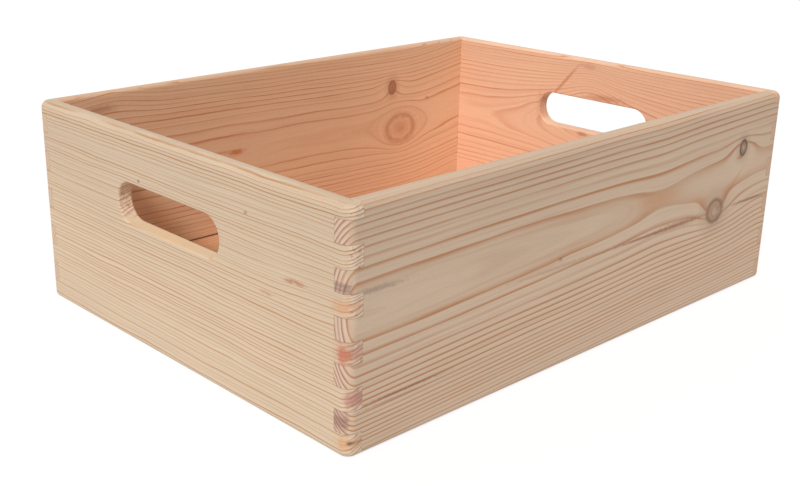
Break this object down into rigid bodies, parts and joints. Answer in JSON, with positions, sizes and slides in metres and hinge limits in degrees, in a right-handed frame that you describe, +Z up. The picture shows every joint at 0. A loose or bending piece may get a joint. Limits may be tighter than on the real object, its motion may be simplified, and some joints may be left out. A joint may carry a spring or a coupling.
{
  "type": "wooden apple crate",
  "caption": "Open-topped finger-jointed pine crate with a hand hole in each end and a boarded base held in a groove.",
  "frame": {"origin": "middle of the footprint, on the surface that the crate stands on", "axes": "+X along the long sides, +Z up out of the open top, +Y towards the back long side"},
  "size_m": [0.4, 0.3, 0.135],
  "materials": {
    "pine_front": "unfinished, sanded",
    "pine_back": "unfinished, sanded",
    "pine_left": "unfinished, sanded",
    "pine_right": "unfinished, sanded",
    "pine_base": "unfinished, sanded"
  },
  "bodies": {
    "root": {"front_long_board": "pine_front", "back_long_board": "pine_back", "left_end_board": "pine_left", "right_end_board": "pine_right", "base_board_front": "pine_base", "base_board_mid_front": "pine_base", "base_board_mid_back": "pine_base", "base_board_back": "pine_base"}
  },
  "joints": []
}
